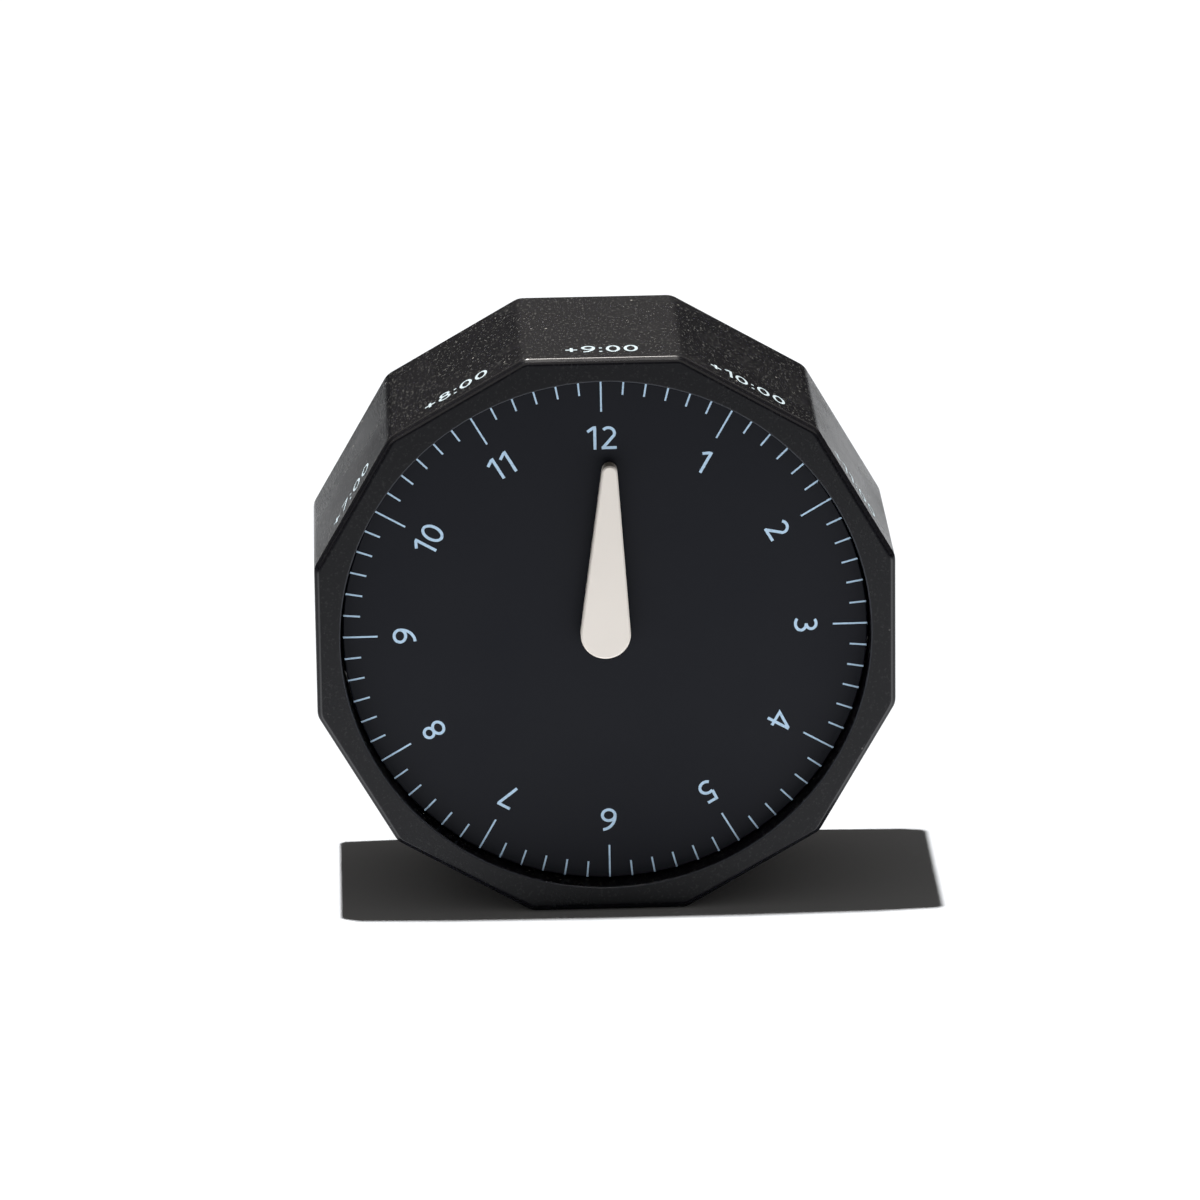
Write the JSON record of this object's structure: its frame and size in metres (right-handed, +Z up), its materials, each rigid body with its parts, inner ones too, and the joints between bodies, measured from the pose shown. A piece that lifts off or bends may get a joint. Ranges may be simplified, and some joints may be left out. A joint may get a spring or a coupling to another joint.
{
  "type": "world time clock",
  "caption": "Twelve-sided desk clock with one hand and a recessed round dial on a weighted hub; it rests on any flat facet and is rolled to read another time zone.",
  "frame": {"origin": "centre of the facet that the clock stands on, halfway through the body's depth", "axes": "+Z up, -Y the way the dial faces, +X to the right seen from the front"},
  "size_m": [0.12, 0.048, 0.12],
  "materials": {
    "housing_black": "satin, finely textured",
    "dial_black": "matt blue-black with pale printed scale",
    "hand_cream": "satin cream",
    "acetal_white": "natural acetal",
    "chassis_grey": "moulded grey",
    "brass": "turned",
    "spring_steel": "plain spring steel",
    "zinc_steel": "zinc plated",
    "screw_steel": "zinc plated",
    "black_screw": "black oxide",
    "battery_sleeve": "printed sleeve, left plain",
    "nickel_plate": "nickel plated",
    "movement_black": "moulded black",
    "knob_black": "ribbed",
    "magnet_grey": "sintered",
    "stator_iron": "soft iron sheet",
    "bobbin_green": "moulded",
    "copper_wire": "lacquered copper wire",
    "board_green": "lacquered circuit board",
    "chip_black": "moulded epoxy"
  },
  "bodies": {
    "case": {"front_housing": "housing_black", "bearing_tube": "brass", "chassis_plate": "chassis_grey", "chassis_screws": "screw_steel", "rear_cover": "housing_black", "cover_screws": "black_screw", "battery": "battery_sleeve", "battery_plate": "nickel_plate", "battery_spring": "nickel_plate", "battery_leads": "nickel_plate", "movement_case_front": "movement_black", "movement_case_back": "movement_black", "middle_plate": "movement_black", "movement_screws": "screw_steel", "stator": "stator_iron", "coil_bobbin": "bobbin_green", "coil_winding": "copper_wire", "circuit_board": "board_green", "time_chip": "chip_black", "quartz_crystal": "nickel_plate", "retaining_clip": "spring_steel"},
    "dial": {"dial": "dial_black", "dial_hub": "acetal_white", "counterweight": "zinc_steel", "counterweight_screws": "screw_steel"},
    "hand": {"hour_hand": "hand_cream", "hour_wheel": "acetal_white"},
    "minute": {"minute_wheel": "acetal_white"},
    "cannon": {"cannon_pinion": "brass"},
    "setting": {"setting_knob": "knob_black"},
    "centre": {"centre_wheel": "brass"},
    "third": {"third_wheel": "acetal_white"},
    "intermediate": {"intermediate_wheel": "acetal_white"},
    "rotor": {"rotor": "magnet_grey"},
    "door": {"battery_door": "housing_black"}
  },
  "joints": [
    {"name": "dial_roll", "type": "hinge", "parent": "case", "child": "dial", "pos_m": [0, 0, 0.06], "axis": [0, 1, 0], "continuous": true},
    {"name": "hand_turn", "type": "hinge", "parent": "case", "child": "hand", "pos_m": [0, 0, 0.06], "axis": [0, 1, 0], "continuous": true},
    {"name": "minute_turn", "type": "hinge", "parent": "case", "child": "minute", "pos_m": [0.012, 0, 0.06], "axis": [0, 1, 0], "continuous": true},
    {"name": "cannon_turn", "type": "hinge", "parent": "case", "child": "cannon", "pos_m": [0, 0, 0.06], "axis": [0, 1, 0], "continuous": true},
    {"name": "setting_turn", "type": "hinge", "parent": "case", "child": "setting", "pos_m": [0.012, 0, 0.0735], "axis": [0, 1, 0], "continuous": true},
    {"name": "intermediate_turn", "type": "hinge", "parent": "case", "child": "intermediate", "pos_m": [-0.01294, 0, 0.05553], "axis": [0, 1, 0], "continuous": true},
    {"name": "rotor_turn", "type": "hinge", "parent": "case", "child": "rotor", "pos_m": [-0.00935, 0, 0.04567], "axis": [0, 1, 0], "continuous": true},
    {"name": "third_turn", "type": "hinge", "parent": "case", "child": "third", "pos_m": [-0.00935, 0, 0.0654], "axis": [0, 1, 0], "continuous": true},
    {"name": "centre_turn", "type": "hinge", "parent": "case", "child": "centre", "pos_m": [0, 0, 0.06], "axis": [0, 1, 0], "continuous": true},
    {"name": "door_swing", "type": "hinge", "parent": "case", "child": "door", "pos_m": [0, 0.0225, 0.01585], "axis": [-1, 0, 0], "range_deg": [0, 95]}
  ],
  "couplings": [
    {"joint": "minute_turn", "follows": "hand_turn", "ratio": -4},
    {"joint": "cannon_turn", "follows": "hand_turn", "ratio": 12},
    {"joint": "setting_turn", "follows": "hand_turn", "ratio": 8},
    {"joint": "rotor_turn", "follows": "intermediate_turn", "ratio": -6},
    {"joint": "third_turn", "follows": "intermediate_turn", "ratio": -0.16667},
    {"joint": "centre_turn", "follows": "intermediate_turn", "ratio": 0.033333}
  ]
}
